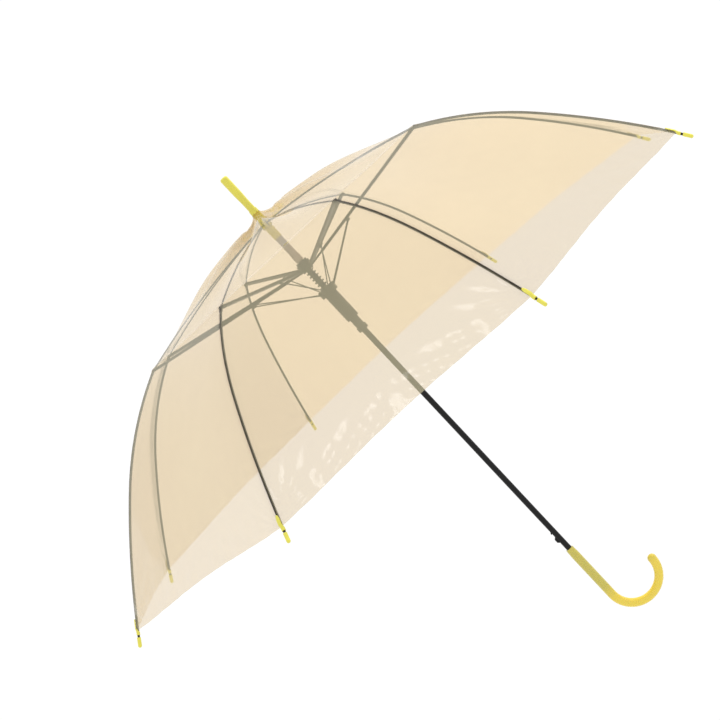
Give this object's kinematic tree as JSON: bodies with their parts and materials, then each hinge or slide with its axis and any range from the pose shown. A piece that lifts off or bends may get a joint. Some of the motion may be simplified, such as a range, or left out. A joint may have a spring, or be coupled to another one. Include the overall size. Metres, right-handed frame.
{
  "type": "umbrella",
  "caption": "Clear film dome umbrella with hinged ribs and stretchers, a sprung sliding runner, slim shaft, pointed ferrule, capped tips and a crook handle.",
  "frame": {"origin": "middle of the straight grip, on the shaft's axis", "axes": "+Z along the shaft towards the ferrule, +X the way the crook turns"},
  "size_m": [0.9318, 0.9318, 0.8022],
  "materials": {
    "film": "clear, slightly warm vinyl film",
    "rib_wire": "satin black",
    "rib_rod": "black resin rod",
    "yellow_plastic": "glossy yellow",
    "crown_plastic": "glossy yellow",
    "sleeve_plastic": "smoky satin",
    "runner_plastic": "satin black",
    "steel_wire": "bright",
    "stretcher_steel": "satin black",
    "link_steel": "satin black",
    "spring_steel": "bright",
    "shaft_metal": "gloss black",
    "catch_steel": "satin black",
    "handle_plastic": "glossy translucent yellow"
  },
  "bodies": {
    "root": {"shaft": "shaft_metal", "ferrule": "yellow_plastic", "top_notch": "crown_plastic", "notch_wire": "steel_wire", "stop_sleeve": "sleeve_plastic", "handle": "handle_plastic"},
    "catch": {"catch": "catch_steel"},
    "stretcher_ring": {"stretcher_ring": "runner_plastic", "stretcher_wire": "steel_wire", "opening_spring": "spring_steel"},
    "runner": {"runner": "runner_plastic", "link_wire": "steel_wire"},
    "upper_rib_1": {"upper_rib_1": "rib_wire"},
    "rib_rod_1": {"rib_rod_1": "rib_rod", "tip_cap_1": "yellow_plastic", "canopy_panel_1": "film"},
    "stretcher_1": {"stretcher_1": "stretcher_steel"},
    "link_1": {"link_1": "link_steel"},
    "upper_rib_2": {"upper_rib_2": "rib_wire"},
    "rib_rod_2": {"rib_rod_2": "rib_rod", "tip_cap_2": "yellow_plastic", "canopy_panel_2": "film"},
    "stretcher_2": {"stretcher_2": "stretcher_steel"},
    "link_2": {"link_2": "link_steel"},
    "upper_rib_3": {"upper_rib_3": "rib_wire"},
    "rib_rod_3": {"rib_rod_3": "rib_rod", "tip_cap_3": "yellow_plastic", "canopy_panel_3": "film"},
    "stretcher_3": {"stretcher_3": "stretcher_steel"},
    "link_3": {"link_3": "link_steel"},
    "upper_rib_4": {"upper_rib_4": "rib_wire"},
    "rib_rod_4": {"rib_rod_4": "rib_rod", "tip_cap_4": "yellow_plastic", "canopy_panel_4": "film"},
    "stretcher_4": {"stretcher_4": "stretcher_steel"},
    "link_4": {"link_4": "link_steel"},
    "upper_rib_5": {"upper_rib_5": "rib_wire"},
    "rib_rod_5": {"rib_rod_5": "rib_rod", "tip_cap_5": "yellow_plastic", "canopy_panel_5": "film"},
    "stretcher_5": {"stretcher_5": "stretcher_steel"},
    "link_5": {"link_5": "link_steel"},
    "upper_rib_6": {"upper_rib_6": "rib_wire"},
    "rib_rod_6": {"rib_rod_6": "rib_rod", "tip_cap_6": "yellow_plastic", "canopy_panel_6": "film"},
    "stretcher_6": {"stretcher_6": "stretcher_steel"},
    "link_6": {"link_6": "link_steel"},
    "upper_rib_7": {"upper_rib_7": "rib_wire"},
    "rib_rod_7": {"rib_rod_7": "rib_rod", "tip_cap_7": "yellow_plastic", "canopy_panel_7": "film"},
    "stretcher_7": {"stretcher_7": "stretcher_steel"},
    "link_7": {"link_7": "link_steel"},
    "upper_rib_8": {"upper_rib_8": "rib_wire"},
    "rib_rod_8": {"rib_rod_8": "rib_rod", "tip_cap_8": "yellow_plastic", "canopy_panel_8": "film"},
    "stretcher_8": {"stretcher_8": "stretcher_steel"},
    "link_8": {"link_8": "link_steel"}
  },
  "joints": [
    {"name": "canopy_fold", "type": "hinge", "parent": "root", "child": "upper_rib_1", "pos_m": [0.00554, 0.0023, 0.642], "axis": [-0.3827, 0.9239, 0], "range_deg": [0, 76.89], "stiffness_Nm_per_rad": 1.2, "springref_deg": -126.05, "deforming": ["canopy_panel_1"]},
    {"name": "stretcher_fold_1", "type": "hinge", "parent": "upper_rib_1", "child": "stretcher_1", "pos_m": [0.2278, 0.09436, 0.60125], "axis": [-0.3827, 0.9239, 0], "range_deg": [-153.79, 0]},
    {"name": "rod_flex_1", "type": "hinge", "parent": "upper_rib_1", "child": "rib_rod_1", "pos_m": [0.2278, 0.09436, 0.60125], "axis": [-0.3827, 0.9239, 0], "range_deg": [-28.69, 0]},
    {"name": "rib_fold_2", "type": "hinge", "parent": "root", "child": "upper_rib_2", "pos_m": [0.0023, 0.00554, 0.642], "axis": [-0.9239, 0.3827, 0], "range_deg": [0, 76.91], "deforming": ["canopy_panel_2"]},
    {"name": "stretcher_fold_2", "type": "hinge", "parent": "upper_rib_2", "child": "stretcher_2", "pos_m": [0.09436, 0.2278, 0.60125], "axis": [-0.9239, 0.3827, 0], "range_deg": [-153.79, 0]},
    {"name": "rod_flex_2", "type": "hinge", "parent": "upper_rib_2", "child": "rib_rod_2", "pos_m": [0.09436, 0.2278, 0.60125], "axis": [-0.9239, 0.3827, 0], "range_deg": [-28.69, 0]},
    {"name": "rib_fold_3", "type": "hinge", "parent": "root", "child": "upper_rib_3", "pos_m": [-0.0023, 0.00554, 0.642], "axis": [-0.9239, -0.3827, 0], "range_deg": [0, 76.91], "deforming": ["canopy_panel_3"]},
    {"name": "stretcher_fold_3", "type": "hinge", "parent": "upper_rib_3", "child": "stretcher_3", "pos_m": [-0.09436, 0.2278, 0.60125], "axis": [-0.9239, -0.3827, 0], "range_deg": [-153.79, 0]},
    {"name": "rod_flex_3", "type": "hinge", "parent": "upper_rib_3", "child": "rib_rod_3", "pos_m": [-0.09436, 0.2278, 0.60125], "axis": [-0.9239, -0.3827, 0], "range_deg": [-28.69, 0]},
    {"name": "rib_fold_4", "type": "hinge", "parent": "root", "child": "upper_rib_4", "pos_m": [-0.00554, 0.0023, 0.642], "axis": [-0.3827, -0.9239, 0], "range_deg": [0, 76.91], "deforming": ["canopy_panel_4"]},
    {"name": "stretcher_fold_4", "type": "hinge", "parent": "upper_rib_4", "child": "stretcher_4", "pos_m": [-0.2278, 0.09436, 0.60125], "axis": [-0.3827, -0.9239, 0], "range_deg": [-153.79, 0]},
    {"name": "rod_flex_4", "type": "hinge", "parent": "upper_rib_4", "child": "rib_rod_4", "pos_m": [-0.2278, 0.09436, 0.60125], "axis": [-0.3827, -0.9239, 0], "range_deg": [-28.69, 0]},
    {"name": "rib_fold_5", "type": "hinge", "parent": "root", "child": "upper_rib_5", "pos_m": [-0.00554, -0.0023, 0.642], "axis": [0.3827, -0.9239, 0], "range_deg": [0, 76.91], "deforming": ["canopy_panel_5"]},
    {"name": "stretcher_fold_5", "type": "hinge", "parent": "upper_rib_5", "child": "stretcher_5", "pos_m": [-0.2278, -0.09436, 0.60125], "axis": [0.3827, -0.9239, 0], "range_deg": [-153.79, 0]},
    {"name": "rod_flex_5", "type": "hinge", "parent": "upper_rib_5", "child": "rib_rod_5", "pos_m": [-0.2278, -0.09436, 0.60125], "axis": [0.3827, -0.9239, 0], "range_deg": [-28.69, 0]},
    {"name": "rib_fold_6", "type": "hinge", "parent": "root", "child": "upper_rib_6", "pos_m": [-0.0023, -0.00554, 0.642], "axis": [0.9239, -0.3827, 0], "range_deg": [0, 76.91], "deforming": ["canopy_panel_6"]},
    {"name": "stretcher_fold_6", "type": "hinge", "parent": "upper_rib_6", "child": "stretcher_6", "pos_m": [-0.09436, -0.2278, 0.60125], "axis": [0.9239, -0.3827, 0], "range_deg": [-153.79, 0]},
    {"name": "rod_flex_6", "type": "hinge", "parent": "upper_rib_6", "child": "rib_rod_6", "pos_m": [-0.09436, -0.2278, 0.60125], "axis": [0.9239, -0.3827, 0], "range_deg": [-28.69, 0]},
    {"name": "rib_fold_7", "type": "hinge", "parent": "root", "child": "upper_rib_7", "pos_m": [0.0023, -0.00554, 0.642], "axis": [0.9239, 0.3827, 0], "range_deg": [0, 76.91], "deforming": ["canopy_panel_7"]},
    {"name": "stretcher_fold_7", "type": "hinge", "parent": "upper_rib_7", "child": "stretcher_7", "pos_m": [0.09436, -0.2278, 0.60125], "axis": [0.9239, 0.3827, 0], "range_deg": [-153.79, 0]},
    {"name": "rod_flex_7", "type": "hinge", "parent": "upper_rib_7", "child": "rib_rod_7", "pos_m": [0.09436, -0.2278, 0.60125], "axis": [0.9239, 0.3827, 0], "range_deg": [-28.69, 0]},
    {"name": "rib_fold_8", "type": "hinge", "parent": "root", "child": "upper_rib_8", "pos_m": [0.00554, -0.0023, 0.642], "axis": [0.3827, 0.9239, 0], "range_deg": [0, 76.91], "deforming": ["canopy_panel_8"]},
    {"name": "stretcher_fold_8", "type": "hinge", "parent": "upper_rib_8", "child": "stretcher_8", "pos_m": [0.2278, -0.09436, 0.60125], "axis": [0.3827, 0.9239, 0], "range_deg": [-153.79, 0]},
    {"name": "rod_flex_8", "type": "hinge", "parent": "upper_rib_8", "child": "rib_rod_8", "pos_m": [0.2278, -0.09436, 0.60125], "axis": [0.3827, 0.9239, 0], "range_deg": [-28.69, 0]},
    {"name": "ring_hinge", "type": "hinge", "parent": "stretcher_1", "child": "stretcher_ring", "pos_m": [0.00554, 0.0023, 0.5605], "axis": [-0.3827, 0.9239, 0], "range_deg": [0, 76.91]},
    {"name": "runner_slide", "type": "slide", "parent": "stretcher_ring", "child": "runner", "axis": [0, 0, 1], "range_m": [0, 0.0297], "deforming": ["opening_spring"]},
    {"name": "link_fold_1", "type": "hinge", "parent": "runner", "child": "link_1", "pos_m": [0.00886, 0.00735, 0.522], "axis": [-0.3827, 0.9239, 0], "range_deg": [-55.98, 0]},
    {"name": "link_fold_2", "type": "hinge", "parent": "runner", "child": "link_2", "pos_m": [0.00107, 0.01146, 0.522], "axis": [-0.9239, 0.3827, 0], "range_deg": [-55.98, 0]},
    {"name": "link_fold_3", "type": "hinge", "parent": "runner", "child": "link_3", "pos_m": [-0.00735, 0.00886, 0.522], "axis": [-0.9239, -0.3827, 0], "range_deg": [-55.98, 0]},
    {"name": "link_fold_4", "type": "hinge", "parent": "runner", "child": "link_4", "pos_m": [-0.01146, 0.00107, 0.522], "axis": [-0.3827, -0.9239, 0], "range_deg": [-55.98, 0]},
    {"name": "link_fold_5", "type": "hinge", "parent": "runner", "child": "link_5", "pos_m": [-0.00886, -0.00735, 0.522], "axis": [0.3827, -0.9239, 0], "range_deg": [-55.98, 0]},
    {"name": "link_fold_6", "type": "hinge", "parent": "runner", "child": "link_6", "pos_m": [-0.00107, -0.01146, 0.522], "axis": [0.9239, -0.3827, 0], "range_deg": [-55.98, 0]},
    {"name": "link_fold_7", "type": "hinge", "parent": "runner", "child": "link_7", "pos_m": [0.00735, -0.00886, 0.522], "axis": [0.9239, 0.3827, 0], "range_deg": [-55.98, 0]},
    {"name": "link_fold_8", "type": "hinge", "parent": "runner", "child": "link_8", "pos_m": [0.01146, -0.00107, 0.522], "axis": [0.3827, 0.9239, 0], "range_deg": [-55.98, 0]},
    {"name": "catch_press", "type": "slide", "parent": "root", "child": "catch", "axis": [1, 0, 0], "range_m": [0, 0.0025], "stiffness_N_per_m": 150, "springref_m": -0.001}
  ],
  "couplings": [
    {"joint": "stretcher_fold_1", "follows": "canopy_fold", "ratio": -2},
    {"joint": "rod_flex_1", "follows": "canopy_fold", "ratio": -0.37292},
    {"joint": "rib_fold_2", "follows": "canopy_fold", "ratio": 1},
    {"joint": "stretcher_fold_2", "follows": "canopy_fold", "ratio": -2},
    {"joint": "rod_flex_2", "follows": "canopy_fold", "ratio": -0.37292},
    {"joint": "rib_fold_3", "follows": "canopy_fold", "ratio": 1},
    {"joint": "stretcher_fold_3", "follows": "canopy_fold", "ratio": -2},
    {"joint": "rod_flex_3", "follows": "canopy_fold", "ratio": -0.37292},
    {"joint": "rib_fold_4", "follows": "canopy_fold", "ratio": 1},
    {"joint": "stretcher_fold_4", "follows": "canopy_fold", "ratio": -2},
    {"joint": "rod_flex_4", "follows": "canopy_fold", "ratio": -0.37292},
    {"joint": "rib_fold_5", "follows": "canopy_fold", "ratio": 1},
    {"joint": "stretcher_fold_5", "follows": "canopy_fold", "ratio": -2},
    {"joint": "rod_flex_5", "follows": "canopy_fold", "ratio": -0.37292},
    {"joint": "rib_fold_6", "follows": "canopy_fold", "ratio": 1},
    {"joint": "stretcher_fold_6", "follows": "canopy_fold", "ratio": -2},
    {"joint": "rod_flex_6", "follows": "canopy_fold", "ratio": -0.37292},
    {"joint": "rib_fold_7", "follows": "canopy_fold", "ratio": 1},
    {"joint": "stretcher_fold_7", "follows": "canopy_fold", "ratio": -2},
    {"joint": "rod_flex_7", "follows": "canopy_fold", "ratio": -0.37292},
    {"joint": "rib_fold_8", "follows": "canopy_fold", "ratio": 1},
    {"joint": "stretcher_fold_8", "follows": "canopy_fold", "ratio": -2},
    {"joint": "rod_flex_8", "follows": "canopy_fold", "ratio": -0.37292},
    {"joint": "ring_hinge", "follows": "canopy_fold", "ratio": 1},
    {"joint": "runner_slide", "follows": "canopy_fold", "m_per_rad": 0.022057},
    {"joint": "link_fold_1", "follows": "canopy_fold", "ratio": -0.72779},
    {"joint": "link_fold_2", "follows": "canopy_fold", "ratio": -0.72779},
    {"joint": "link_fold_3", "follows": "canopy_fold", "ratio": -0.72779},
    {"joint": "link_fold_4", "follows": "canopy_fold", "ratio": -0.72779},
    {"joint": "link_fold_5", "follows": "canopy_fold", "ratio": -0.72779},
    {"joint": "link_fold_6", "follows": "canopy_fold", "ratio": -0.72779},
    {"joint": "link_fold_7", "follows": "canopy_fold", "ratio": -0.72779},
    {"joint": "link_fold_8", "follows": "canopy_fold", "ratio": -0.72779}
  ]
}
